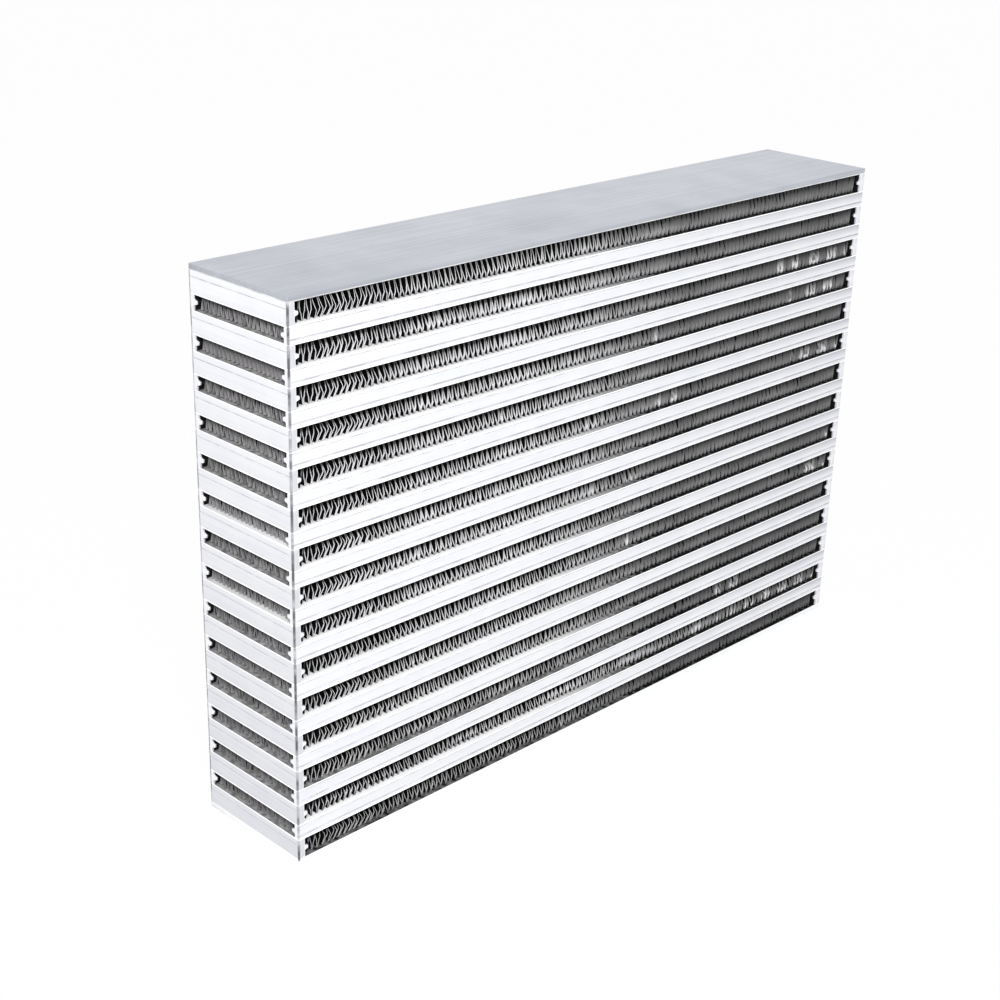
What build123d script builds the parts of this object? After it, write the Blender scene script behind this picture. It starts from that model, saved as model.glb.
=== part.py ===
"""Bar-and-plate intercooler core: a brazed stack of plates, sheets, closing bars and folded fin strips.

Frame, in millimetres: X runs along the length, left to right, and is the way the charge air flows.
Y runs from front to back and is the way the cooling air flows. Z is up.
The origin is the middle of the underside. Rows are numbered from the top down.
"""

from build123d import *
import os

# Overall size
core_length = 457.2
core_depth = 76.2

# The stack: one more ambient row than charge rows, a parting sheet on each side of every charge row
charge_row_count = 14
ambient_row_height = 11.2
charge_row_height = 8.1
sheet_thickness = 0.6
side_plate_thickness = 3.2

# Closing bars, drawn aluminium with broken corners, one scribed groove along the outer face and a
# tapered tongue along the inner face. The width is measured without the tongue.
end_bar_width = 4.2
end_bar_tongue = 2.2
long_bar_width = 3.0
long_bar_tongue = 2.4
tongue_root = 3.0
tongue_tip = 1.6
bar_corner = 0.4
groove_width = 0.5
groove_depth = 0.25
end_bar_groove_drop = 3.1
long_bar_groove_rise = 2.0

# Folded fin strips. A fold here is wider than on the real strip (1.8 mm from wall to wall),
# so that the block keeps a small number of faces.
ambient_fold_pitch = 7.5
charge_fold_pitch = 4.5
ambient_fin_gauge = 0.25
charge_fin_gauge = 0.25
ambient_fin_recess = 2.6
charge_fin_recess = 2.4
fin_side_gap = 0.6
braze_film = 0.05

# Levels and spans worked out from the sizes above
ambient_row_count = charge_row_count + 1
row_pitch = ambient_row_height + charge_row_height + 2 * sheet_thickness
core_height = (
    2 * side_plate_thickness
    + ambient_row_count * ambient_row_height
    + charge_row_count * (charge_row_height + 2 * sheet_thickness)
)


def ambient_ceiling(row):
    """Height of the upper face of an ambient row."""
    return core_height - side_plate_thickness - (row - 1) * row_pitch


def charge_ceiling(row):
    """Height of the upper face of a charge row."""
    return ambient_ceiling(row) - ambient_row_height - sheet_thickness


def slab(thickness, underside):
    """A flat plate over the whole footprint, standing on the given level."""
    centre = Pos(0, 0, underside + thickness / 2)
    return centre * Box(core_length, core_depth, thickness)


def closing_bar(plane, outer_face, side, width, tongue, bar_height, floor, groove_level, run):
    """A bar along the plane's normal: broken outer corners, a V groove outside and a tongue inside.

    outer_face is the distance of the outer face from the middle of the core, and side is -1 or 1.
    """
    profile = [
        (bar_corner, 0),
        (width, 0),
        (width, (bar_height - tongue_root) / 2),
        (width + tongue, (bar_height - tongue_tip) / 2),
        (width + tongue, (bar_height + tongue_tip) / 2),
        (width, (bar_height + tongue_root) / 2),
        (width, bar_height),
        (bar_corner, bar_height),
        (0, bar_height - bar_corner),
        (0, groove_level + groove_width / 2),
        (groove_depth, groove_level),
        (0, groove_level - groove_width / 2),
        (0, bar_corner),
    ]
    placed = [(side * (outer_face - inward), floor + up) for inward, up in profile]
    section = plane * make_face(Polyline(*placed, close=True))
    return extrude(section, amount=run / 2, both=True)


def end_bars(row):
    """The left and right bars that close an ambient row."""
    floor = ambient_ceiling(row) - ambient_row_height
    groove_level = ambient_row_height - end_bar_groove_drop
    return [
        closing_bar(Plane.XZ, core_length / 2, side, end_bar_width, end_bar_tongue,
                    ambient_row_height, floor, groove_level, core_depth)
        for side in (-1, 1)
    ]


def long_bars(row):
    """The front and back bars that close a charge row."""
    floor = charge_ceiling(row) - charge_row_height
    return [
        closing_bar(Plane.YZ, core_depth / 2, side, long_bar_width, long_bar_tongue,
                    charge_row_height, floor, long_bar_groove_rise, core_length)
        for side in (-1, 1)
    ]


def folded_strip(plane, span, fold_pitch, gauge, row_height, floor, run):
    """A strip folded to and fro between floor and ceiling, its folds running along the plane's normal."""
    fold_count = max(2, round(span / fold_pitch))
    step = span / fold_count
    strip_height = row_height - 2 * braze_film
    # A leaning wall of this gauge takes up this much height, measured straight up.
    upright_gauge = gauge * (1 + (strip_height / step) ** 2) ** 0.5
    low = floor + braze_film
    high = low + strip_height - upright_gauge
    underside = [(-span / 2 + i * step, high if i % 2 else low) for i in range(fold_count + 1)]
    topside = [(across, up + upright_gauge) for across, up in reversed(underside)]
    section = plane * make_face(Polyline(*underside, *topside, close=True))
    return extrude(section, amount=run / 2, both=True)


def ambient_fin(row):
    """Fin pack of an ambient row: folds side by side along X, open from front to back."""
    span = core_length - 2 * (end_bar_width + end_bar_tongue + fin_side_gap)
    floor = ambient_ceiling(row) - ambient_row_height
    run = core_depth - 2 * ambient_fin_recess
    return folded_strip(Plane.XZ, span, ambient_fold_pitch, ambient_fin_gauge, ambient_row_height,
                        floor, run)


def charge_fin(row):
    """Fin pack of a charge row: folds side by side along Y, open from left to right."""
    span = core_depth - 2 * (long_bar_width + long_bar_tongue + fin_side_gap)
    floor = charge_ceiling(row) - charge_row_height
    run = core_length - 2 * charge_fin_recess
    return folded_strip(Plane.YZ, span, charge_fold_pitch, charge_fin_gauge, charge_row_height,
                        floor, run)


def write(node, *pieces):
    """One file for each node, its pieces as separate solids."""
    shape = pieces[0] if len(pieces) == 1 else Compound(children=list(pieces))
    export_step(shape, f"parts/{node}.step")


os.makedirs("parts", exist_ok=True)

write("top_side_plate", slab(side_plate_thickness, core_height - side_plate_thickness), *end_bars(1))
write("bottom_side_plate", slab(side_plate_thickness, 0))

for row in range(1, charge_row_count + 1):
    upper_sheet = slab(sheet_thickness, charge_ceiling(row))
    write(f"charge_sheet_and_bars_{row:02d}", upper_sheet, *long_bars(row))
    write(f"charge_fin_{row:02d}", charge_fin(row))

for row in range(1, ambient_row_count + 1):
    if row > 1:
        lower_sheet = slab(sheet_thickness, ambient_ceiling(row))
        write(f"ambient_sheet_and_bars_{row:02d}", lower_sheet, *end_bars(row))
    write(f"ambient_fin_{row:02d}", ambient_fin(row))
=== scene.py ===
"""Looks of a bar-and-plate intercooler core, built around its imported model.

Metres throughout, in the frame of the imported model: X along the length, Y from front to back, Z up, with the
origin in the middle of the underside. Rows are numbered from the top down.
"""

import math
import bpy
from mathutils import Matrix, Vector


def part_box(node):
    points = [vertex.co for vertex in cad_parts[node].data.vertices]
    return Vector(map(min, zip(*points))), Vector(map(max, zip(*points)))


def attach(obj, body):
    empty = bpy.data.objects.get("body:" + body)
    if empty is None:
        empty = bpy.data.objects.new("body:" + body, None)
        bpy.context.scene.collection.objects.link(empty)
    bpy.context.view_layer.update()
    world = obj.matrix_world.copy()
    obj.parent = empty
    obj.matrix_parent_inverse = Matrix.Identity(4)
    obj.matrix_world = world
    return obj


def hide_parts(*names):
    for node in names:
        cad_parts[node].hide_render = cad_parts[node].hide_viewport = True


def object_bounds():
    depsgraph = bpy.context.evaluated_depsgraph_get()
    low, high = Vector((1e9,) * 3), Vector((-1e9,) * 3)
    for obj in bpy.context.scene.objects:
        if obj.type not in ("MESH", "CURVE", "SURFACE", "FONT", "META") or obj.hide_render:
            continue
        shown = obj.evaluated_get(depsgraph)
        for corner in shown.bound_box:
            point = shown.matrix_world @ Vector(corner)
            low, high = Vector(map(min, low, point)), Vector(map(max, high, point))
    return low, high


bl_info = {
    "name": "Intercooler core",
    "version": (1, 0, 0),
    "blender": (4, 5, 0),
    "location": "View3D > Sidebar > Core",
    "description": "Plates, sheets, closing bars and folded fins of a bar-and-plate intercooler core",
    "category": "Add Mesh",
}

import bmesh
import bpy
import numpy as np
from mathutils import Matrix, Vector

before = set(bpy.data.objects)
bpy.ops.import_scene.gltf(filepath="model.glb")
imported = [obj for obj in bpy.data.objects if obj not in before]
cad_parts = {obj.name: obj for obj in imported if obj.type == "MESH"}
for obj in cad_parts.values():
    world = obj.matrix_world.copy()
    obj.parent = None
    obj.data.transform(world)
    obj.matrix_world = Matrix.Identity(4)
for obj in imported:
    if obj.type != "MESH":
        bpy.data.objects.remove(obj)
CAD_LOW, CAD_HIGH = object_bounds()
BODY = "root"

MM = 0.001
LENGTH = CAD_HIGH.x - CAD_LOW.x
DEPTH = CAD_HIGH.y - CAD_LOW.y
CHARGE_ROWS = range(1, 15)
AMBIENT_ROWS = range(1, 16)
ROW_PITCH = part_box("charge_fin_01")[0].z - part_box("charge_fin_02")[0].z
STACK_TOP = CAD_HIGH.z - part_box("bottom_side_plate")[1].z

# Softened edges of the stock
PLATE_EDGE = 0.3 * MM
SHEET_EDGE = 0.12 * MM
BAR_END_EDGE = 0.25 * MM

# How much of a parting sheet's face is left free of painted shade, from 0 to 1, and which sheets aren't like
# the others of their kind
LIT_BY_KIND = {"charge": 1.0, "ambient": 0.2}
LIT_SHEETS = {("charge", 13): 0.12, ("ambient", 7): 0.85, ("ambient", 9): 0.75}
# How much of the lower plate's faces is left free of painted shade
LIT_BOTTOM_PLATE = 0.04

# Bent folds of the ambient rows at the front, in millimetres from the left end
BENT_FOLDS = {
    1: ((165, 175),),
    3: ((377, 400), (410, 450)),
    4: ((263, 268), (388, 396), (410, 445)),
    5: ((366, 370),),
    6: ((205, 225), (270, 290), (400, 450)),
    8: ((215, 220), (240, 260)),
    9: ((438, 450),),
    10: ((250, 254), (386, 390), (425, 450)),
    13: ((340, 365),),
    14: ((320, 330), (345, 450)),
    15: ((199, 202),),
}


def linear(hex_colour):
    """An sRGB hex colour as three linear numbers."""
    channels = np.array([int(hex_colour[i:i + 2], 16) for i in (0, 2, 4)]) / 255
    return tuple(np.where(channels <= 0.04045, channels / 12.92, ((channels + 0.055) / 1.055) ** 2.4))


# ---------------- sizes and colours


def length_property(name, description, millimetres):
    """A length that a user sets, kept in metres."""
    return bpy.props.FloatProperty(
        name=name, description=description, default=millimetres * MM, min=0.0, unit="LENGTH", precision=5
    )


def colour_property(name, description, hex_colour):
    """A colour that a user sets."""
    return bpy.props.FloatVectorProperty(
        name=name, description=description, default=linear(hex_colour), min=0.0, max=1.0, subtype="COLOR"
    )


class CoreSizes(bpy.types.PropertyGroup):
    """Sizes of the stock and of its small forms."""

    sheet_thickness: length_property("Parting sheet", "Thickness of a parting sheet", 0.6)
    plate_thickness: length_property("Side plate", "Thickness of a side plate", 3.2)
    end_bar_width: length_property("End bar", "Width of an end bar without its tongue", 4.2)
    end_bar_tongue: length_property("End bar tongue", "How far an end bar's tongue reaches inwards", 2.2)
    long_bar_width: length_property("Long bar", "Width of a long bar without its tongue", 3.0)
    long_bar_tongue: length_property("Long bar tongue", "How far a long bar's tongue reaches inwards", 2.4)
    tongue_root: length_property("Tongue root", "Height of a tongue where it leaves the bar", 3.0)
    tongue_tip: length_property("Tongue tip", "Height of the blunt end of a tongue", 1.6)
    bar_edge: length_property("Bar edge", "Rounding of a bar's outer edges", 0.45)
    groove_width: length_property("Groove width", "Width of the scribed line on a bar", 0.5)
    groove_depth: length_property("Groove depth", "Depth of the scribed line on a bar", 0.25)
    end_groove_drop: length_property("End bar groove", "Groove below the top of an end bar", 3.1)
    long_groove_rise: length_property("Long bar groove", "Groove above the bottom of a long bar", 2.0)
    fin_gauge: length_property("Fin gauge", "Thickness of the fin strip", 0.18)
    ambient_spacing: length_property("Ambient fin spacing", "From wall to wall, 14 walls to the inch", 1.81)
    charge_spacing: length_property("Charge fin spacing", "From wall to wall", 1.7)
    side_gap: length_property("Fin side gap", "From a tongue to the fin pack", 0.7)
    slip_left: length_property("Fin slip left over", "Play still free beside a pack that has slipped", 0.2)


class CoreFinish(bpy.types.PropertyGroup):
    """Colours of the finishes, and of the painted light and shade laid on them."""

    # The plate's grey is partly the duller rolled stock and partly painted shade, which makes the top face
    # look darker than the pale bars.
    plate: colour_property("Side plate", "Rolled plate", "C9CCD3")
    plate_dull: colour_property("Side plate, dull", "Rolling marks and stains", "B9BCC4")
    bar: colour_property("Bar", "Drawn bar and sheet edge", "EFF0F2")
    bar_dull: colour_property("Bar, dull", "Flux haze on a bar", "E6E8ED")
    sheet: colour_property("Sheet", "Clad parting sheet", "FAFAFB")
    # The two fin colours are painted light on the lit part of each fold behind its cut edge, and the inside
    # colour is painted shade, black, where the folds lie in shade.
    ambient_fin: colour_property("Ambient fin", "Cut edge of the fin strip, cooling air side", "F4F4F6")
    charge_fin: colour_property("Charge fin", "Cut edge of the fin strip, charge air side", "9C9A9C")
    fin_painted_shade: colour_property("Fin strip, inside", "Fin strip behind its bright edge", "0E0E10")
    # Painted shade: darkens the bars lower down the stack, and the long bars under their top edges and towards
    # the right.
    bar_painted_shade: colour_property("Bar, shaded", "Painted shade on the lower and right parts of the bars", "AFB1B8")
    # The groove colour is painted shade, a grey line laid in the grooves.
    line: colour_property("Groove", "Scribed grooves of the bars", "B4B4BA")
    sawn: colour_property("Sawn end", "Cut ends of the end bars", "D3D4D8")
    # Painted shade, black: laid on the inner sides of the bars and on the faces of the sheets, where the light
    # doesn't reach in beside the fins.
    stain_and_shade: colour_property("Recess_shade", "Painted shade between the bars and the fins", "161617")
    corner: colour_property("Dark joint", "Line down the two left corners and along the joints", "5C5C62")


# ---------------- mesh helpers


def rounded_outline(corners, radii, steps=3):
    """A closed outline with rounded corners, as an array of (n * (steps + 1), 2) points.

    At each corner, unit vectors run to its two neighbours. The arc's centre lies on their bisector at the
    radius over the sine of half the angle, and the arc turns evenly from one tangent point to the other.
    """
    here = np.asarray(corners, float)
    radius = np.asarray(radii, float)[:, None]
    back = np.roll(here, 1, 0) - here
    ahead = np.roll(here, -1, 0) - here
    back /= np.linalg.norm(back, axis=1, keepdims=True)
    ahead /= np.linalg.norm(ahead, axis=1, keepdims=True)
    half = np.arccos(np.clip((back * ahead).sum(1, keepdims=True), -1, 1)) / 2
    bisector = back + ahead
    bisector /= np.linalg.norm(bisector, axis=1, keepdims=True)
    centre = here + bisector * radius / np.sin(half)
    first = here + back * radius / np.tan(half) - centre
    last = here + ahead * radius / np.tan(half) - centre
    turn = (np.pi - 2 * half)[:, None, :]
    share = np.linspace(0, 1, steps + 1)[None, :, None]
    arc = first[:, None, :] * np.sin((1 - share) * turn) + last[:, None, :] * np.sin(share * turn)
    return (centre[:, None, :] + arc / np.sin(turn)).reshape(-1, 2)


def tube_faces(rows, columns):
    """Quads of a grid of rows by columns of vertices, joined round the columns."""
    r, c = np.meshgrid(np.arange(rows - 1), np.arange(columns), indexing="ij")
    here, following = r * columns + c, r * columns + (c + 1) % columns
    return np.stack([here, following, following + columns, here + columns], -1).reshape(-1, 4)


def build_mesh(name, shells):
    """One mesh from shells of (vertices, quads, caps), with every face turned outwards."""
    vertices, faces, start = [], [], 0
    for points, quads, caps in shells:
        vertices.append(points.reshape(-1, 3))
        faces += (quads + start).tolist()
        faces += [(cap + start).tolist() for cap in caps]
        start += len(vertices[-1])
    mesh = bpy.data.meshes.new(name)
    mesh.from_pydata(np.concatenate(vertices).tolist(), [], faces)
    work = bmesh.new()
    work.from_mesh(mesh)
    bmesh.ops.recalc_face_normals(work, faces=work.faces)
    work.to_mesh(mesh)
    work.free()
    return mesh


def add_piece(name, shells, material, slot, node, smooth_below=40, **values):
    """A piece on the one body, in place of the node that it stands for.

    Edges that turn by fewer degrees than smooth_below are smooth. values are named numbers at each vertex.
    """
    mesh = build_mesh(name, shells)
    for key, value in values.items():
        numbers = mesh.attributes.new(key, "FLOAT", "POINT")
        numbers.data.foreach_set("value", value.ravel().astype(np.float32))
    mesh.materials.append(material)
    mesh.shade_smooth()
    mesh.set_sharp_from_angle(angle=math.radians(smooth_below))
    piece = bpy.data.objects.new(name, mesh)
    bpy.context.scene.collection.objects.link(piece)
    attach(piece, BODY)
    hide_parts(node)
    return piece


# ---------------- materials

# Depth of what counts as a bar's outer face, and widths of a crisp and a soft edge of a mark, for stains and
# for painted shade
FACE = 0.7 * MM
CRISP = 0.2 * MM
SOFT = 0.4 * MM


def add_node(tree, kind, inputs=None, **settings):
    """A node with its settings, and its inputs as values or as sockets to link from."""
    node = tree.nodes.new(kind)
    for key, value in settings.items():
        setattr(node, key, value)
    for socket, value in (inputs or {}).items():
        if isinstance(value, bpy.types.NodeSocket):
            tree.links.new(value, node.inputs[socket])
        else:
            node.inputs[socket].default_value = value
    return node


def empty_material(name):
    """A material with nothing in its tree, and the tree."""
    material = bpy.data.materials.new(name)
    material.use_nodes = True
    material.node_tree.nodes.clear()
    return material, material.node_tree


def opaque(colour):
    """A colour with its alpha, or a socket as it is."""
    return colour if isinstance(colour, bpy.types.NodeSocket) else (*colour, 1.0)


def product(tree, *values):
    """The product of several sockets or numbers."""
    total = values[0]
    for value in values[1:]:
        total = add_node(tree, "ShaderNodeMath", {0: total, 1: value}, operation="MULTIPLY").outputs[0]
    return total


def largest(tree, *values):
    """The largest of several sockets or numbers."""
    total = values[0]
    for value in values[1:]:
        total = add_node(tree, "ShaderNodeMath", {0: total, 1: value}, operation="MAXIMUM").outputs[0]
    return total


def spread(tree, value, low, high, at_low=0.0, at_high=1.0):
    """A value spread evenly from at_low to at_high between two limits, and held beyond them."""
    inputs = {"Value": value, "From Min": low, "From Max": high, "To Min": at_low, "To Max": at_high}
    return add_node(tree, "ShaderNodeMapRange", inputs).outputs["Result"]


def past(tree, value, limit, blur):
    """0 below the limit and 1 above it, with a soft step as wide as blur."""
    return spread(tree, value, limit - blur / 2, limit + blur / 2)


def short_of(tree, value, limit, blur):
    """1 below the limit and 0 above it, with a soft step as wide as blur."""
    return spread(tree, value, limit - blur / 2, limit + blur / 2, 1.0, 0.0)


def between(tree, value, low, high, blur):
    """1 between two limits and 0 outside them, with soft steps."""
    return product(tree, past(tree, value, low, blur), short_of(tree, value, high, blur))


def speckle(tree, place, scale, least, most, full=0.65):
    """Cloudy noise from least to most, which it reaches where the raw noise is full.

    scale says how many lumps go into a metre along each axis. The raw noise runs from about 0.35 to 0.65.
    """
    stretched = add_node(tree, "ShaderNodeMapping", {"Vector": place, "Scale": scale}).outputs["Vector"]
    raw = add_node(tree, "ShaderNodeTexNoise", {"Vector": stretched, "Scale": 1.0, "Detail": 2.0})
    return spread(tree, raw.outputs["Fac"], 0.35, full, least, most)


def overlaid(tree, colour, stain_and_shade, *shares):
    """The colour where the product of the shares is 0, and the second colour where it is 1: this lays on
    stains, and also painted light and shade.
    """
    # Of the node's sockets, inputs 6 and 7 and output 2 are the ones for colours.
    inputs = {"Factor": product(tree, *shares), 6: opaque(colour), 7: opaque(stain_and_shade)}
    return add_node(tree, "ShaderNodeMix", inputs, data_type="RGBA").outputs[2]


class Spot:
    """Where a shaded point lies on the core, as sockets.

    x is its place along the length, out_x and out_y how far it lies from the middle along X and Y, z its
    height, and fall how far it lies below the ceiling of the ambient row at or above it.
    """

    def __init__(self, tree, place):
        parts = add_node(tree, "ShaderNodeSeparateXYZ", {"Vector": place}).outputs
        self.x, self.z = parts["X"], parts["Z"]
        out = add_node(tree, "ShaderNodeVectorMath", {0: place}, operation="ABSOLUTE").outputs["Vector"]
        out_parts = add_node(tree, "ShaderNodeSeparateXYZ", {"Vector": out}).outputs
        self.out_x, self.out_y = out_parts["X"], out_parts["Y"]
        below_top = add_node(tree, "ShaderNodeMath", {0: STACK_TOP, 1: self.z}, operation="SUBTRACT")
        inputs = {0: below_top.outputs[0], 1: ROW_PITCH}
        self.fall = add_node(tree, "ShaderNodeMath", inputs, operation="MODULO").outputs[0]


def brazed_aluminium(name, pale, dull, *, grain, mottle, roughness, relief, metallic, marks):
    """Aluminium as it leaves the brazing furnace.

    grain is how many grain lines go into a metre along each axis, mottle how many patches, roughness the
    lowest and highest, and relief the height of the grain in metres. The grain is drawn coarser than the
    real drawing and rolling lines, which are a few hundredths of a millimetre apart and wouldn't show.
    marks turns the tree, the place and the colour so far into the colour with this piece's own stains and its
    painted light and shade.
    """
    material, tree = empty_material(name)
    place = add_node(tree, "ShaderNodeTexCoord").outputs["Object"]
    stretched = add_node(tree, "ShaderNodeMapping", {"Vector": place, "Scale": grain}).outputs["Vector"]
    lines = add_node(tree, "ShaderNodeTexNoise", {"Vector": stretched, "Scale": 1.0, "Detail": 3.0})
    patches = add_node(tree, "ShaderNodeTexNoise", {"Vector": place, "Scale": mottle, "Detail": 4.0})
    inputs = {0: lines.outputs["Fac"], 1: patches.outputs["Fac"]}
    both = add_node(tree, "ShaderNodeMath", inputs, operation="ADD").outputs[0]
    colour = marks(tree, place, overlaid(tree, pale, dull, spread(tree, both, 0.75, 1.3)))
    # Where painted shade makes the colour dark, it is neither metal nor glossy, so that the shade stays dark.
    red = add_node(tree, "ShaderNodeSeparateColor", {"Color": colour}).outputs["Red"]
    shaded_red, unshaded = 0.02, 0.25
    inputs = {"Height": lines.outputs["Fac"], "Strength": 0.6, "Distance": relief}
    inputs = {
        "Base Color": colour,
        "Metallic": spread(tree, red, shaded_red, unshaded, 0.0, metallic),
        "Roughness": spread(tree, both, 0.7, 1.3, *roughness),
        "Specular IOR Level": spread(tree, red, shaded_red, unshaded, 0.08, 0.5),
        "Normal": add_node(tree, "ShaderNodeBump", inputs).outputs["Normal"],
    }
    metal = add_node(tree, "ShaderNodeBsdfPrincipled", inputs)
    add_node(tree, "ShaderNodeOutputMaterial", {"Surface": metal.outputs["BSDF"]})
    return material


def corner_line(tree, place, spot, colour, finish):
    """Dark line down the two left corners, blotched."""
    reach, blur = 0.9 * MM, 0.6 * MM
    near_x = short_of(tree, spot.x, CAD_LOW.x + reach, blur)
    near_y = past(tree, spot.out_y, DEPTH / 2 - reach, blur)
    # The lowest two millimetres stay bright.
    above = past(tree, spot.z, 2.2 * MM, 1.5 * MM)
    blotch = speckle(tree, place, (40, 40, 130), 0.3, 1.0, full=0.62)
    return overlaid(tree, colour, finish.corner, near_x, near_y, above, blotch)


def end_bar_marks(sizes, finish):
    """Marks of an end bar: painted shade, black on its inner side and grey along its groove and lower down the
    stack, sawn ends, and the dark corner line.
    """
    groove, half_line = sizes.end_groove_drop, 0.2 * MM
    outer = LENGTH / 2 - sizes.end_bar_width + SOFT
    sawn = DEPTH / 2 - 1.2 * MM

    def marks(tree, place, colour):
        spot = Spot(tree, place)
        face = past(tree, spot.out_x, LENGTH / 2 - FACE, CRISP)
        # Painted shade in the groove, broken into dashes.
        line = between(tree, spot.fall, groove - half_line, groove + half_line, 0.15 * MM)
        dashes = speckle(tree, place, (80, 200, 80), 0.35, 1.0)
        colour = overlaid(tree, colour, finish.line, face, line, dashes)
        # Painted shade: the outer face darkens lower down the stack.
        lower_rows = spread(tree, spot.z, STACK_TOP, 0.0, 0.0, 0.4)
        colour = overlaid(tree, colour, finish.bar_painted_shade, face, lower_rows)
        # Painted shade, black, on the inner side and the tongue, in the narrow holes beside the fins.
        inner = short_of(tree, spot.out_x, outer, CRISP)
        colour = overlaid(tree, colour, finish.stain_and_shade, inner, short_of(tree, spot.out_y, sawn, SOFT))
        end = past(tree, spot.out_y, sawn, SOFT)
        leftward = spread(tree, spot.x, -0.1, 0.1, 1.0, 0.15)
        colour = overlaid(tree, colour, finish.sawn, end, past(tree, spot.out_x, outer, CRISP), leftward)
        return corner_line(tree, place, spot, colour, finish)

    return marks


def long_bar_marks(sizes, finish):
    """Marks of a long bar: painted shade, black on its inner side and grey along its groove and under its top
    edge, and a dark line along its joint.
    """
    floor, ceiling = row_levels(sizes, 1, "charge")
    foot, head = STACK_TOP - floor, STACK_TOP - ceiling
    groove, half_line = foot - sizes.long_groove_rise, 0.4 * MM
    outer = DEPTH / 2 - sizes.long_bar_width + SOFT

    def marks(tree, place, colour):
        spot = Spot(tree, place)
        face = past(tree, spot.out_y, DEPTH / 2 - FACE, CRISP)
        # Painted shade in the groove, broken into dashes.
        line = between(tree, spot.fall, groove - half_line, groove + half_line, SOFT)
        dashes = speckle(tree, place, (90, 90, 90), 0.4, 1.0)
        colour = overlaid(tree, colour, finish.line, face, line, dashes)
        joint = between(tree, spot.fall, head - 0.2 * MM, head + 0.35 * MM, CRISP)
        dashes = speckle(tree, place, (130, 130, 130), 0.1, 0.55)
        colour = overlaid(tree, colour, finish.corner, face, joint, dashes)
        # Painted shade: the outer face darkens under its top edge, more towards the right.
        rightward = spread(tree, spot.x, 0.0, LENGTH / 2, 0.12, 0.85)
        shade = spread(tree, spot.fall, head, head + 4.5 * MM, 1.0, 0.15)
        colour = overlaid(tree, colour, finish.bar_painted_shade, face, rightward, shade)
        # Painted shade, black, on the inner side and the tongue, short of the ends.
        inner = short_of(tree, spot.out_y, outer, CRISP)
        within = short_of(tree, spot.out_x, LENGTH / 2 - 1.0 * MM, SOFT)
        colour = overlaid(tree, colour, finish.stain_and_shade, inner, within)
        return corner_line(tree, place, spot, colour, finish)

    return marks


def sheet_marks(finish):
    """Marks of a sheet: bright edges, and painted shade on its faces that deepens to the right.

    The attribute "shine" is 1 on a sheet whose faces are free of painted shade on the left and 0 on one
    painted dark all over.
    """
    edge = 0.3 * MM

    def marks(tree, place, colour):
        spot = Spot(tree, place)
        inside_x = short_of(tree, spot.out_x, LENGTH / 2 - edge, CRISP)
        inside_y = short_of(tree, spot.out_y, DEPTH / 2 - edge, CRISP)
        # Painted shade on the faces, deeper towards the right, where the light falls off.
        rightward = spread(tree, spot.x, -0.05, 0.04, 0.0, 1.15)
        shine = add_node(tree, "ShaderNodeAttribute", attribute_name="shine").outputs["Fac"]
        shaded_share = largest(tree, rightward, spread(tree, shine, 0.0, 1.0, 1.0, 0.0))
        # The painted shade is cloudy, deeper in some patches than in others.
        cloud = speckle(tree, place, (280, 280, 0), 0.8, 1.06)
        colour = overlaid(tree, colour, finish.stain_and_shade, inside_x, inside_y, shaded_share, cloud)
        return corner_line(tree, place, spot, colour, finish)

    return marks


def plate_marks(finish):
    """A bright line of braze along the foot of the upper plate's edges."""

    def marks(tree, place, colour):
        foot = short_of(tree, Spot(tree, place).z, STACK_TOP + 0.6 * MM, 0.3 * MM)
        broken = speckle(tree, place, (120, 120, 120), 0.5, 1.0, full=0.5)
        return overlaid(tree, colour, finish.sheet, foot, broken)

    return marks


def fin_marks(bright, axis, edge):
    """Colour of a fin strip: painted light behind its cut edge, and painted shade, black, further in.

    The attribute "shine" says how bright the painted light is and "clear" how deep it reaches, in metres, and
    noise makes each fold differ. axis is 0 or 1 for folds that end along X or Y, and edge how far out they
    end.
    """
    least_depth = 0.12 * MM

    def marks(tree, place, colour):
        spot = Spot(tree, place)
        shine, clear = (
            add_node(tree, "ShaderNodeAttribute", attribute_name=name).outputs["Fac"]
            for name in ("shine", "clear")
        )
        differs = speckle(tree, place, (330, 330, 45), 0.65, 1.35)
        depth = largest(tree, product(tree, clear, differs), least_depth)
        inputs = {0: edge, 1: (spot.out_x, spot.out_y)[axis]}
        into = add_node(tree, "ShaderNodeMath", inputs, operation="SUBTRACT").outputs[0]
        depths_in = add_node(tree, "ShaderNodeMath", {0: into, 1: depth}, operation="DIVIDE").outputs[0]
        # Painted light within the lit depth behind the cut edge, and painted shade beyond it.
        unshaded = spread(tree, depths_in, 1.15, 0.85)
        return overlaid(tree, colour, bright, unshaded, spread(tree, shine, 0.0, 1.0, 0.05, 1.0))

    return marks


# ---------------- plates, sheets and bars


def softened_prism(outline, span, place, edge):
    """An outline carried along a span, with its two ends drawn in a little.

    outline is (n, 2), span the two ends, and place turns (stations, n) arrays of along, u and v into points.
    The first and last stations are the outline shrunk about its middle by the edge, and the other two stand
    an edge further in at full size.
    """
    low, high = span
    along = np.array([low, low + edge, high - edge, high])
    middle = (outline.max(0) + outline.min(0)) / 2
    reach = (outline.max(0) - outline.min(0)) / 2
    shrink = np.ones((len(along), 1, 2))
    shrink[[0, -1], 0] = 1 - edge / reach
    placed = middle + (outline - middle)[None] * shrink
    points = place(along[:, None] + 0 * placed[..., 0], placed[..., 0], placed[..., 1])
    count = len(outline)
    caps = [np.arange(count), np.arange(count) + (len(along) - 1) * count]
    return points, tube_faces(len(along), count), caps


def along_x(side, outer, floor):
    """Places a profile on the front (-1) or back (1) face, running along X."""
    return lambda s, u, v: np.stack([s, side * (outer - u), floor + v], -1)


def along_y(side, outer, floor):
    """Places a profile on the left (-1) or right (1) face, running along Y."""
    return lambda s, u, v: np.stack([side * (outer - u), s, floor + v], -1)


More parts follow.
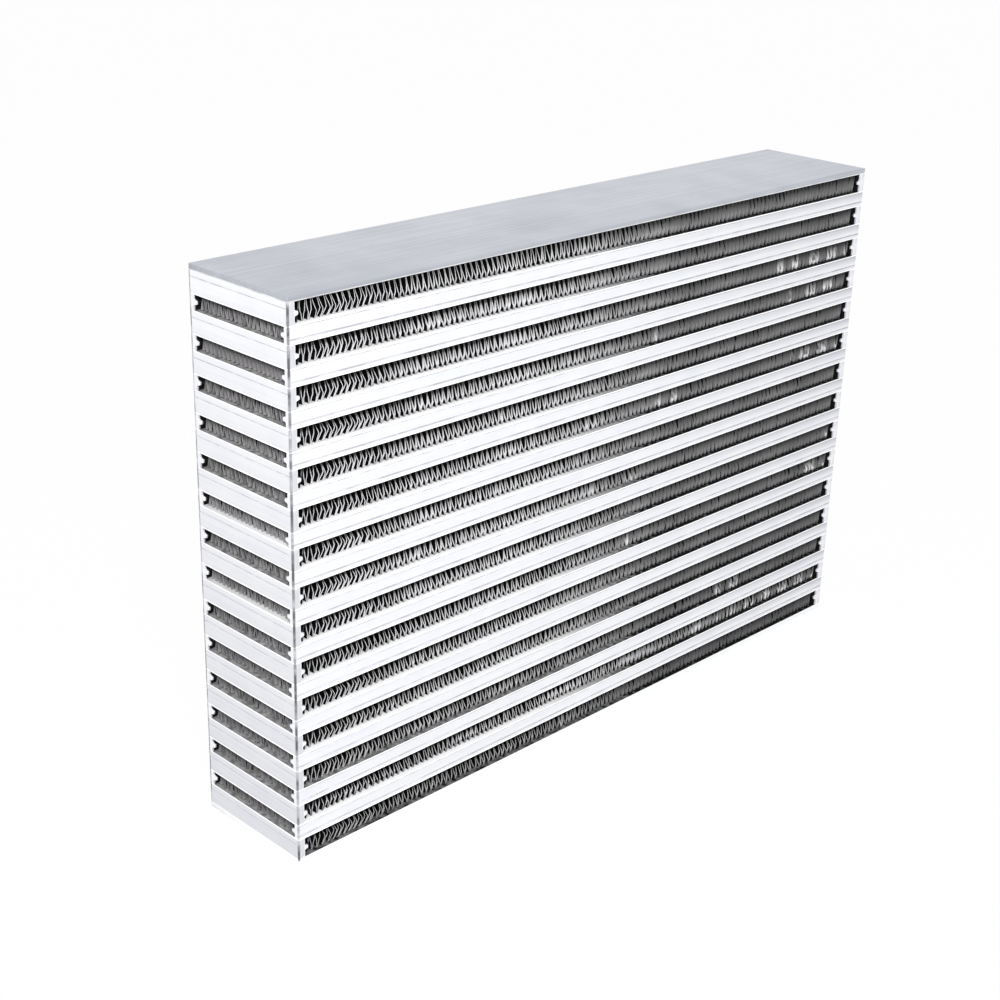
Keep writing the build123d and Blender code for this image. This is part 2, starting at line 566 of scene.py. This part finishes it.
def bar_outline(sizes, width, tongue, height, groove):
    """Section of a closing bar: u goes inwards from the outer face and v up from its underside."""
    root, tip = sizes.tongue_root, sizes.tongue_tip
    half = sizes.groove_width / 2
    # At each corner of the section: u, v and the radius of its rounding
    edge, sharp, soft, lip, pit = sizes.bar_edge, 0.1 * MM, 0.5 * MM, 0.15 * MM, 0.05 * MM
    section = [
        (0, 0, edge),
        (width, 0, sharp),
        (width, (height - root) / 2, soft),
        (width + tongue, (height - tip) / 2, soft),
        (width + tongue, (height + tip) / 2, soft),
        (width, (height + root) / 2, soft),
        (width, height, sharp),
        (0, height, edge),
        (0, groove + half, lip),
        (sizes.groove_depth, groove, pit),
        (0, groove - half, lip),
    ]
    return rounded_outline([corner[:2] for corner in section], [corner[2] for corner in section])


def bar_pair(outline, span, placing, outer, floor):
    """The same bar on the left and right, or on the front and back, with its outer face that far out."""
    return [softened_prism(outline, span, placing(side, outer, floor), BAR_END_EDGE) for side in (-1, 1)]


def slab_shell(low, high, edge):
    """A flat plate over the whole footprint, with rounded edges, carried along X."""
    thickness = high - low
    corners = [(0, 0), (DEPTH, 0), (DEPTH, thickness), (0, thickness)]
    outline = rounded_outline(corners, [edge] * 4)
    return softened_prism(outline, (CAD_LOW.x, CAD_HIGH.x), along_x(-1, DEPTH / 2, low), edge)


def bar_node(row, kind):
    """Name of the node that carries a row's bars."""
    return "top_side_plate" if (kind, row) == ("ambient", 1) else f"{kind}_sheet_and_bars_{row:02d}"


def row_levels(sizes, row, kind):
    """Floor and ceiling of a row: the box of the node with its bars, less the sheet or plate on top."""
    node = bar_node(row, kind)
    low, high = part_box(node)
    cover = sizes.plate_thickness if node == "top_side_plate" else sizes.sheet_thickness
    return low.z, high.z - cover


class CORE_OT_side_plates(bpy.types.Operator):
    """Builds the two side plates"""

    bl_idname = "core.side_plates"
    bl_label = "Side plates"

    def execute(self, context):
        sizes, finish = context.scene.core_sizes, context.scene.core_finish
        # Mill-finish rolled plate: pale grey, partly its own duller tone and partly painted shade for the top
        # face, with fine lines along the length and a soft sheen.
        rolling = {"grain": (6, 700, 700), "mottle": 25, "roughness": (0.38, 0.52), "relief": 0.01 * MM}
        rolled = brazed_aluminium(
            "rolled_aluminium_plate", finish.plate, finish.plate_dull,
            metallic=1.0, marks=plate_marks(finish), **rolling,
        )
        top = CAD_HIGH.z
        shell = slab_shell(top - sizes.plate_thickness, top, PLATE_EDGE)
        add_piece("top_plate", [shell], rolled, "side_plate", "top_side_plate")
        # The lower plate has the pale colour of the bars, with painted shade on its faces as the sheets have;
        # its edges stay pale.
        lower_plate_metal = brazed_aluminium(
            "lower_plate_with_painted_shade", finish.bar, finish.bar,
            metallic=0.3, marks=sheet_marks(finish), **rolling,
        )
        shell = slab_shell(0, sizes.plate_thickness, PLATE_EDGE)
        shine = np.full(shell[0].shape[:-1], LIT_BOTTOM_PLATE)
        add_piece("bottom_plate", [shell], lower_plate_metal, "side_plate", "bottom_side_plate", shine=shine)
        return {"FINISHED"}


class CORE_OT_parting_sheets(bpy.types.Operator):
    """Builds the parting sheets above and below every charge row"""

    bl_idname = "core.parting_sheets"
    bl_label = "Parting sheets"

    def execute(self, context):
        sizes, finish = context.scene.core_sizes, context.scene.core_finish
        # Clad sheet: the cladding has melted and run, which leaves it smooth and bright.
        clad = brazed_aluminium(
            "clad_aluminium_sheet", finish.sheet, finish.sheet, grain=(60, 60, 60), mottle=90,
            roughness=(0.4, 0.55), relief=0.01 * MM, metallic=0.0, marks=sheet_marks(finish),
        )
        for kind, rows in (("charge", CHARGE_ROWS), ("ambient", AMBIENT_ROWS[1:])):
            for row in rows:
                ceiling = row_levels(sizes, row, kind)[1]
                shell = slab_shell(ceiling, ceiling + sizes.sheet_thickness, SHEET_EDGE)
                unshaded = LIT_SHEETS.get((kind, row), LIT_BY_KIND[kind])
                add_piece(
                    f"{kind}_sheet_{row:02d}", [shell], clad, "sheet_and_bars", bar_node(row, kind),
                    shine=np.full(shell[0].shape[:-1], unshaded),
                )
        return {"FINISHED"}


# Drawn bar, brazed: pale and satin, with drawing lines along its run.
DRAWN_BAR = {"mottle": 60, "roughness": (0.45, 0.6), "relief": 0.01 * MM, "metallic": 0.6}


class CORE_OT_end_bars(bpy.types.Operator):
    """Builds the bars that close the ambient rows at the left and right ends"""

    bl_idname = "core.end_bars"
    bl_label = "End bars"

    def execute(self, context):
        sizes, finish = context.scene.core_sizes, context.scene.core_finish
        drawn = brazed_aluminium(
            "drawn_end_bar", finish.bar, finish.bar_dull,
            grain=(500, 12, 500), marks=end_bar_marks(sizes, finish), **DRAWN_BAR,
        )
        for row in AMBIENT_ROWS:
            floor, ceiling = row_levels(sizes, row, "ambient")
            height = ceiling - floor
            groove = height - sizes.end_groove_drop
            outline = bar_outline(sizes, sizes.end_bar_width, sizes.end_bar_tongue, height, groove)
            shells = bar_pair(outline, (CAD_LOW.y, CAD_HIGH.y), along_y, LENGTH / 2, floor)
            add_piece(f"end_bars_{row:02d}", shells, drawn, "sheet_and_bars", bar_node(row, "ambient"))
        return {"FINISHED"}


class CORE_OT_long_bars(bpy.types.Operator):
    """Builds the bars that close the charge rows at the front and back"""

    bl_idname = "core.long_bars"
    bl_label = "Long bars"

    def execute(self, context):
        sizes, finish = context.scene.core_sizes, context.scene.core_finish
        drawn = brazed_aluminium(
            "drawn_long_bar", finish.bar, finish.bar_dull,
            grain=(12, 500, 500), marks=long_bar_marks(sizes, finish), **DRAWN_BAR,
        )
        for row in CHARGE_ROWS:
            floor, ceiling = row_levels(sizes, row, "charge")
            height, groove = ceiling - floor, sizes.long_groove_rise
            outline = bar_outline(sizes, sizes.long_bar_width, sizes.long_bar_tongue, height, groove)
            shells = bar_pair(outline, (CAD_LOW.x, CAD_HIGH.x), along_x, DEPTH / 2, floor)
            add_piece(f"long_bars_{row:02d}", shells, drawn, "sheet_and_bars", bar_node(row, "charge"))
        return {"FINISHED"}


# ---------------- folded fins

# A crest's outer points stand this share of a step to each side, and this much nearer the middle
CREST_SIDE = 0.2
CREST_TUCK = 0.33 * MM
# The most by which a crest falls short
CREST_SHORT = 0.12 * MM
# The points of a wall: their height from 0 to 1, the second and third of them measured from the kink, and how
# far across they are, from 0 to 1, where the wall steps over in full
WALL_UP = np.array([[0.08, -0.06, 0.06, 0.6, 0.74]])
WALL_ACROSS = np.array([[0.24, 0.3, 0.7, 0.74, 0.78]])
WALL_POINTS = WALL_UP.shape[1]
# Height of the kink in a wall, from 0 to 1, and how much lower it lies where the foot gives way too
KINK = 0.41
KINK_DROP = 0.18
# How the buckling changes along the span, in millimetres: the slow sines by which the push swells and the
# kink wanders, the fading at the ends, and where and over what length the foot starts to give way
SWELL = 19
WANDER = 11
END_FADE = 8
FOOT_FROM = 38
FOOT_SHIFT = 8
FOOT_OVER = 14
# The slow wave of the crests: its lengths across and along the folds, and its height in steps
WAVE_ACROSS = 60 * MM
WAVE_ALONG = 35 * MM
WAVE_HEIGHT = 0.12
# Bent folds: how far they are pushed, the length of one radian of their zigzag, and how deep it reaches
BEND_PUSH = 0.5 * MM
BEND_LENGTH = 1.1 * MM
BEND_DEPTH = 2.0 * MM

FIN_SMOOTHING = 75
# The second-lowest ambient row has painted light halfway up only, which makes a row of dots
DOTTED_ROW = 14
# Where the random draws of each kind of pack start
AMBIENT_SEED = 11
CHARGE_SEED = 23


def folded_strip(
    rng, span, height, spacing, gauge, stations, *,
    jitter, lean, push=0.0, foot=0.0, over=0.0, phase=0.0, bends=(),
):
    """A strip folded to and fro, as its two sides: (stations, points, 2 sides) of across and up.

    Crests stand at even steps across the span, each moved by a random share of the step (jitter), and a
    little short of the plates. Each crest has three points, the outer two drawn in, and each wall has five
    more, moved sideways at random (lean). Behind the cut edge the strip drifts sideways by a slow wave.

    The strip has buckled under the press: all walls are pushed the same way across, most at the kink, where
    they give way, and less at the foot. push is that distance and foot its share left at the foot. At the
    kink each wall also steps over from one side of its fold to the other, by over from 0 to 1, so that wide
    and narrow cells change places. phase is that of the slow sines by which all this varies along the span.
    bends are spans across where the folds are pushed to and fro at the front, less and less further in.

    The two sides lie half the gauge to each side of this line, along its normal.
    """
    low, high = span
    walls = max(2, round((high - low) / spacing))
    step = (high - low) / walls
    crest = np.arange(walls + 1)
    crest_across = low + crest * step
    crest_across[1:-1] += rng.uniform(-jitter, jitter, walls - 1) * step
    upper = crest % 2 == 1
    outward = np.where(upper, 1, -1)
    crest_up = outward * (height / 2 - gauge * 0.75 - rng.uniform(0, CREST_SHORT, walls + 1))

    along = (crest_across - low) / MM
    from_end = np.minimum(along, (high - crest_across) / MM)
    fading = np.clip(from_end / END_FADE - 0.4, 0, 1)
    pushed = push * (1 + 0.25 * np.sin(along / SWELL + phase)) * fading
    late = np.clip((along - FOOT_FROM - FOOT_SHIFT * np.sin(phase)) / FOOT_OVER, 0, 1)
    foot_pushed = pushed * foot * late
    kink = KINK - KINK_DROP * late + 0.04 * np.sin(along / WANDER + 2 * phase)

    falling = upper[:-1, None]
    share = np.repeat(WALL_UP, walls, 0)
    share[:, 1:3] += kink[:-1, None] + rng.uniform(-0.02, 0.02, (walls, 1))
    travel = (1 - over) * share + over * WALL_ACROSS
    share = np.where(falling, share[:, ::-1], share)
    travel = np.where(falling, travel[:, ::-1], travel)
    first, second = crest_across[:-1, None], crest_across[1:, None]
    bottom = np.where(falling, second, first)
    top = np.where(falling, first, second)
    knee = kink[:-1, None]
    below = foot_pushed[:-1, None] + (pushed - foot_pushed)[:-1, None] * share / knee
    above = pushed[:-1, None] * (1 - share) / (1 - knee)
    sway = rng.uniform(-lean, lean, (walls, 1)) * step * np.sin(np.pi * share)

    across = np.empty((walls + 1, 3 + WALL_POINTS))
    sides = np.array([-CREST_SIDE, 0.0, CREST_SIDE]) * step
    across[:, :3] = (crest_across + foot_pushed * ~upper)[:, None] + sides
    across[:-1, 3:] = bottom + (top - bottom) * travel + np.where(share < knee, below, above) + sway
    up = np.empty_like(across)
    up[:, :3] = crest_up[:, None] - outward[:, None] * CREST_TUCK * np.array([1, 0, 1])
    up[:-1, 3:] = (share - 0.5) * (height - gauge)
    # The first crest has no left point, and the last one no right point and no wall.
    kept = slice(1, -1 - WALL_POINTS)
    across, up = across.ravel()[kept], up.ravel()[kept]

    drift = np.empty((len(stations), len(across)))
    for index, station in enumerate(stations):
        wave = across / WAVE_ACROSS + station / WAVE_ALONG
        drift[index] = WAVE_HEIGHT * step * np.sin(2 * np.pi * wave) * (index > 0)
        for start, end in bends:
            shove = BEND_PUSH * np.sin(across / BEND_LENGTH) * np.exp(-station / BEND_DEPTH)
            drift[index] += near_span(across, start, end) * shove
    across = across[None] + drift
    up = np.repeat(up[None], len(stations), 0)
    slope = np.stack([np.gradient(across, axis=1), np.gradient(up, axis=1)], -1)
    slope /= np.linalg.norm(slope, axis=-1, keepdims=True)
    normal = np.stack([-slope[..., 1], slope[..., 0]], -1)
    line = np.stack([across, up], -1)
    return np.stack([line - normal * gauge / 2, line + normal * gauge / 2], 2)


def strip_shell(sides, run, place):
    """Closes a folded strip: its two faces, its two cut edges and its two ends.

    Vertices are (stations, around, 3), where around goes along one face and back along the other.
    """
    loop = np.concatenate([sides[:, :, 0], sides[:, ::-1, 1]], 1)
    stations, around = loop.shape[:2]
    points = place(np.repeat(run[:, None], around, 1), loop[..., 0], loop[..., 1])
    near = np.arange(around // 2 - 1)
    edge = np.stack([near, near + 1, around - 2 - near, around - 1 - near], -1)
    return points, np.concatenate([tube_faces(stations, around), edge, edge + (stations - 1) * around]), []


def run_stations(low, high):
    """Places along the folds: the two cut edges, three millimetres behind each, and the middle."""
    return np.array([low, low + 3 * MM, 0.0, high - 3 * MM, high])


def bent_spans(row):
    """Where the cut edges of an ambient row are bent, as (from, to) along X."""
    return [(start * MM - LENGTH / 2, end * MM - LENGTH / 2) for start, end in BENT_FOLDS.get(row, ())]


def near_span(across, start, end):
    """1 within a span and 0 outside, with a slope of a millimetre at each end."""
    return np.clip(np.minimum(across - start, end - across) / MM + 0.5, 0, 1)


def read_off(value, *points):
    """A value read off the line through (place, height) points, which is level beyond its ends."""
    return np.interp(value, *zip(*points))


def fin_strip(name, kind, axis, inside, bright):
    """Rolled strip, folded and brazed: painted light behind where it was cut, and painted shade, black,
    further in.
    """
    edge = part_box(f"{kind}_fin_01")[1][axis]
    return brazed_aluminium(
        name, inside, inside, grain=(300, 300, 300), mottle=200,
        roughness=(0.45, 0.6), relief=0.004 * MM, metallic=0.15, marks=fin_marks(bright, axis, edge),
    )


def add_fin_pack(sizes, kind, row, strip, rng, *, axis, reach, spacing, shine, **folds):
    """One row's folded strip, whose folds run along X or Y (axis 0 or 1) between the ends of its CAD node.

    reach is how far the strip would come from the middle if it were centred. The packs have slipped to the
    right or to the back by most of their play. shine gives the brightness and depth of the painted light at
    each point, from its place across the folds and its height in the row from 0 to 1.
    """
    node = f"{kind}_fin_{row:02d}"
    floor, ceiling = row_levels(sizes, row, kind)
    middle = (floor + ceiling) / 2
    low, high = (corner[axis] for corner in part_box(node))
    run = run_stations(low, high)
    span = (-reach, reach + sizes.side_gap - sizes.slip_left)
    sides = folded_strip(rng, span, ceiling - floor, spacing, sizes.fin_gauge, run - low, **folds)

    def place(along, across, up):
        return np.stack([along, across, middle + up] if axis == 0 else [across, along, middle + up], -1)

    shell = strip_shell(sides, run, place)
    across, height = shell[0][..., 1 - axis], (shell[0][..., 2] - floor) / (ceiling - floor)
    add_piece(
        f"{kind}_fin_pack_{row:02d}", [shell], strip, f"{kind}_fin", node, FIN_SMOOTHING,
        **shine(across, height, row, reach),
    )


class CORE_OT_ambient_fins(bpy.types.Operator):
    """Builds the folded fin packs of the ambient rows"""

    bl_idname = "core.ambient_fins"
    bl_label = "Ambient fins"

    def execute(self, context):
        sizes, finish = context.scene.core_sizes, context.scene.core_finish
        strip = fin_strip("rolled_fin_strip", "ambient", 1, finish.fin_painted_shade, finish.ambient_fin)
        rng = np.random.default_rng(AMBIENT_SEED)
        reach = LENGTH / 2 - sizes.end_bar_width - sizes.end_bar_tongue - sizes.side_gap
        for row in AMBIENT_ROWS:
            add_fin_pack(
                sizes, "ambient", row, strip, rng,
                axis=1, reach=reach, spacing=sizes.ambient_spacing, shine=ambient_shine,
                jitter=0.15, lean=0.3, push=2.5 * MM, foot=0.8, over=0.5, phase=1.7 * row,
                bends=bent_spans(row),
            )
        return {"FINISHED"}


def ambient_shine(x, up, row, reach):
    """How bright an ambient fin pack is behind its cut edge (from 0 to 1), and how deep in metres.

    It is painted light and shade: bright on the left half, fading to the right and in the lowest rows. It is
    painted black near the upper folds, in the shade where the light doesn't reach, and the last wall on the
    left is painted black too. Bent folds show more of their lit face. Both numbers are products of lines read
    off along X, up a fold and down the stack.
    """
    dotted = row == DOTTED_ROW
    # Painted light: only the top row is painted lit near its upper folds.
    high_up, at_crest, under_crest = (0.8, 0.4, 0.4) if row == 1 else (0.12, 0.03, 0.06)

    along = read_off(x, (-0.23, 0.75), (-0.15, 0.95), (-0.06, 0.95), (0.0, 0.6), (0.05, 0.31), (0.23, 0.22))
    rightness = read_off(x, (-0.06, 0.0), (0.03, 1.0))
    if dotted:
        along = read_off(x, (-0.23, 0.5), (-0.1, 0.75), (-0.03, 1.0), (0.08, 0.6), (0.15, 0.36), (0.23, 0.26))
        rightness = read_off(x, (-0.01, 0.0), (0.07, 1.0))
    leftness = 1 - rightness
    down_the_stack = read_off(row, (1, 1.0), (8, 1.0), (12, 0.85), (13, 0.75), (14, 0.9), (15, 0.6))

    past_end = read_off(x, (-0.186, 0.0), (-0.166, 1.0))
    at_end = read_off(up, (0.0, 0.9), (0.1, 1.0), (0.6, 1.0), (0.72, high_up), (0.9, at_crest))
    further = read_off(up, (0.0, 0.25), (0.1, 0.5), (0.25, 1.1), (0.5, 1.1), (0.62, 0.6), (0.74, under_crest))
    on_left = at_end * (1 - past_end) + further * past_end
    if dotted:
        on_left = read_off(up, (0.0, 0.5), (0.22, 0.6), (0.36, 1.7), (0.56, 1.2), (0.7, 0.04))
    on_right = read_off(up, (0.04, 0.03), (0.15, 1.0), (0.42, 1.0), (0.58, 0.4), (0.74, 0.08))
    level = on_left * leftness + on_right * rightness
    shine = along * down_the_stack * level
    # Painted highlight: each bent fold shows as a lit petal, one in about 3.6 mm, brighter and fainter by
    # turns.
    for start, end in bent_spans(row):
        petals = (np.sin(x / (0.58 * MM)) > -0.1) * np.clip(0.65 + 0.6 * np.sin(x / (2.9 * MM)), 0, 1)
        shine = np.maximum(shine, near_span(x, start, end) * petals * level * 1.15)

    clear = read_off(x, (-0.2, 0.45), (-0.15, 0.78), (-0.1, 0.8), (-0.05, 0.7), (0.0, 1.0), (0.04, 1.7)) * MM
    per_row = read_off(
        row, (1, 0.55), (2, 1.0), (4, 0.85), (6, 0.75), (8, 0.9), (10, 0.6), (12, 0.65), (14, 0.9), (15, 0.6)
    )
    clear = clear * (per_row + (1 - per_row) * rightness)
    deeper = read_off(up, (0.05, -0.4), (0.25, 0.5), (0.48, 0.4), (0.62, -0.2))
    clear = clear * (1 + past_end * leftness * deeper)
    if dotted:
        clear = clear * read_off(up, (0.28, 0.6), (0.42, 2.0), (0.56, 0.6))
    last_wall = 1.2 * MM - reach
    return {"shine": shine * (x > last_wall), "clear": clear}


class CORE_OT_charge_fins(bpy.types.Operator):
    """Builds the folded fin packs of the charge rows"""

    bl_idname = "core.charge_fins"
    bl_label = "Charge fins"

    def execute(self, context):
        sizes, finish = context.scene.core_sizes, context.scene.core_finish
        strip = fin_strip("charge_fin_strip", "charge", 0, finish.fin_painted_shade, finish.charge_fin)
        rng = np.random.default_rng(CHARGE_SEED)
        reach = DEPTH / 2 - sizes.long_bar_width - sizes.long_bar_tongue - sizes.side_gap
        for row in CHARGE_ROWS:
            add_fin_pack(
                sizes, "charge", row, strip, rng,
                axis=0, reach=reach, spacing=sizes.charge_spacing, shine=charge_shine,
                jitter=0.18, lean=0.15,
            )
        return {"FINISHED"}


def cell_gap(up):
    """How wide the cell beside a strip's face is, from 0 at its closed end to 1 at its open end.

    up is the height from 0 to 1 at each point round a folded strip. The first half of the points lies on
    its lower face, whose cells close at the top, and the rest on its upper face, whose cells close below.
    """
    half = up.shape[1] // 2
    return np.concatenate([1 - up[:, :half], up[:, half:]], 1)


def charge_shine(y, up, row, reach):
    """How bright a charge fin pack is behind its cut edge (from 0 to 1), and how deep in metres.

    This is painted light and shade. The second row is painted bright far in, which makes it an even grey.
    Further down the stack the packs are painted darker. Each is brightest near its lower folds and painted
    black at the crests.
    """
    even_grey = row == 2
    level = {1: 0.95, 2: 0.8, 6: 1.0}.get(row, read_off(row, (1, 0.95), (3, 0.9), (8, 0.8), (14, 0.65)))
    near_folds = read_off(up, (0.0, 1.2), (0.12, 1.2), (0.47, 0.85), (0.7, 0.45), (0.86, 0.04))
    # Painted shade: some folds are blacker than their neighbours, most of all in the odd rows.
    strength = 0.0 if even_grey else 0.6 if row % 2 else 0.3
    streaks = np.sin(y / (0.61 * MM) + row) * np.sin(y / (2.3 * MM) + 2 * row)
    near_folds = near_folds * np.clip(1.0 + strength * streaks, 0, 1.2)
    clear = cell_gap(up) * (6.0 if even_grey else 2.0) * MM
    last_wall = 1.0 * MM - reach
    return {"shine": level * near_folds * (y > last_wall), "clear": clear}


# ---------------- stage

FLOOR_HALF = 6.0
# Brightness of the surroundings, for what they light and for what is seen of them
SKY_LIGHT = 0.6
SKY_SEEN = 1.0
# How much of the floor's own white is seen. The rest takes the core's shadow.
FLOOR_WHITE = 0.97

# Azimuth, elevation and roll in degrees, and the lens's focal length in widths of the frame
CAMERA_ANGLES = (-45.3886, 22.5094, 1.6428)
CAMERA_DISTANCE = 0.9879698
CAMERA_TARGET = (-0.0493302, 0.0, 0.1441568)
CAMERA_LENS = 1.7357573
SENSOR_WIDTH = 36.0


def camera_matrix(angles, distance, target):
    """A camera that looks at the target: its back points along the azimuth and elevation, then it rolls.

    Right is the horizontal direction at a right angle to back, and up is back crossed with right.
    """
    a, e, r = (math.radians(angle) for angle in angles)
    back = np.array([math.sin(a) * math.cos(e), -math.cos(a) * math.cos(e), math.sin(e)])
    right = np.array([math.cos(a), math.sin(a), 0.0])
    up = np.cross(back, right)
    turned = np.eye(4)
    turned[:3, 0] = right * math.cos(r) + up * math.sin(r)
    turned[:3, 1] = up * math.cos(r) - right * math.sin(r)
    turned[:3, 2] = back
    turned[:3, 3] = np.asarray(target) + back * distance
    return Matrix(turned.tolist())


def add_lamp(name, *, direction, distance, size, power, target):
    """A square soft light, facing the target from a direction."""
    light = bpy.data.lights.new(name, "AREA")
    light.energy = power
    light.size = size
    lamp = bpy.data.objects.new(name, light)
    way = Vector(direction).normalized()
    lamp.location = Vector(target) + way * distance
    lamp.rotation_mode = "QUATERNION"
    lamp.rotation_quaternion = way.to_track_quat("Z", "Y")
    lamp.visible_camera = False
    bpy.context.scene.collection.objects.link(lamp)


def seen_directly(tree):
    """1 for rays that show the background: from the camera, off gloss and through glass."""
    path = add_node(tree, "ShaderNodeLightPath").outputs
    return largest(tree, path["Is Camera Ray"], path["Is Glossy Ray"], path["Is Transmission Ray"])


class CORE_OT_stage(bpy.types.Operator):
    """Sets the floor, the lights, the surroundings and the camera"""

    bl_idname = "core.stage"
    bl_label = "Stage"

    def execute(self, context):
        scene = context.scene
        scene.view_settings.view_transform = "Standard"
        pale, white = opaque(linear("F4F4F4")), opaque(linear("FFFFFF"))

        # White studio paper: matt, with a faint shadow under the core and no edge to be seen.
        material, tree = empty_material("studio_floor")
        shaded = add_node(tree, "ShaderNodeBsdfDiffuse", {"Color": pale}).outputs["BSDF"]
        glowing = add_node(tree, "ShaderNodeEmission", {"Color": white, "Strength": 1.0}).outputs["Emission"]
        share = product(tree, seen_directly(tree), FLOOR_WHITE)
        mixed = add_node(tree, "ShaderNodeMixShader", {0: share, 1: shaded, 2: glowing})
        add_node(tree, "ShaderNodeOutputMaterial", {"Surface": mixed.outputs["Shader"]})
        mesh = bpy.data.meshes.new("floor")
        corners = [(x * FLOOR_HALF, y * FLOOR_HALF, 0) for x, y in ((-1, -1), (1, -1), (1, 1), (-1, 1))]
        mesh.from_pydata(corners, [], [(0, 1, 2, 3)])
        mesh.materials.append(material)
        floor = bpy.data.objects.new("floor", mesh)
        scene.collection.objects.link(floor)

        world = bpy.data.worlds.new("studio")
        scene.world = world
        world.use_nodes = True
        tree = world.node_tree
        tree.nodes.clear()
        strength = spread(tree, seen_directly(tree), 0.0, 1.0, SKY_LIGHT, SKY_SEEN)
        sky = add_node(tree, "ShaderNodeBackground", {"Color": white, "Strength": strength})
        add_node(tree, "ShaderNodeOutputWorld", {"Surface": sky.outputs["Background"]})

        # One large soft lamp in front on the left, above the core
        add_lamp(
            "key_left", direction=(-0.6, -0.72, 0.6), distance=1.5, size=0.5, power=22.5,
            target=(-0.12, 0.0, 0.2),
        )

        camera = bpy.data.objects.new("camera", bpy.data.cameras.new("camera"))
        camera.data.sensor_width = SENSOR_WIDTH
        camera.data.lens = SENSOR_WIDTH * CAMERA_LENS
        camera.matrix_world = camera_matrix(CAMERA_ANGLES, CAMERA_DISTANCE, CAMERA_TARGET)
        scene.collection.objects.link(camera)
        scene.camera = camera
        return {"FINISHED"}


# ---------------- panel and registration


class CORE_PT_panel(bpy.types.Panel):
    """Lists the pieces of the core, its sizes and its colours"""

    bl_label = "Intercooler core"
    bl_idname = "CORE_PT_panel"
    bl_space_type = "VIEW_3D"
    bl_region_type = "UI"
    bl_category = "Core"

    def draw(self, context):
        for operator in OPERATORS:
            self.layout.operator(operator.bl_idname)
        for group in (context.scene.core_sizes, context.scene.core_finish):
            column = self.layout.column(align=True)
            for name in group.bl_rna.properties.keys():
                if name not in ("rna_type", "name"):
                    column.prop(group, name)


OPERATORS = (
    CORE_OT_side_plates,
    CORE_OT_parting_sheets,
    CORE_OT_end_bars,
    CORE_OT_long_bars,
    CORE_OT_ambient_fins,
    CORE_OT_charge_fins,
    CORE_OT_stage,
)
CLASSES = (CoreSizes, CoreFinish, *OPERATORS, CORE_PT_panel)


def register():
    """Registers the classes and hangs the two groups on the scene."""
    for cls in CLASSES:
        bpy.utils.register_class(cls)
    bpy.types.Scene.core_sizes = bpy.props.PointerProperty(type=CoreSizes)
    bpy.types.Scene.core_finish = bpy.props.PointerProperty(type=CoreFinish)


def unregister():
    """Undoes register."""
    del bpy.types.Scene.core_finish
    del bpy.types.Scene.core_sizes
    for cls in reversed(CLASSES):
        bpy.utils.unregister_class(cls)


def main():
    """Builds the whole core."""
    register()
    bpy.ops.core.side_plates()
    bpy.ops.core.parting_sheets()
    bpy.ops.core.end_bars()
    bpy.ops.core.long_bars()
    bpy.ops.core.ambient_fins()
    bpy.ops.core.charge_fins()
    bpy.ops.core.stage()


if __name__ == "__main__":
    main()
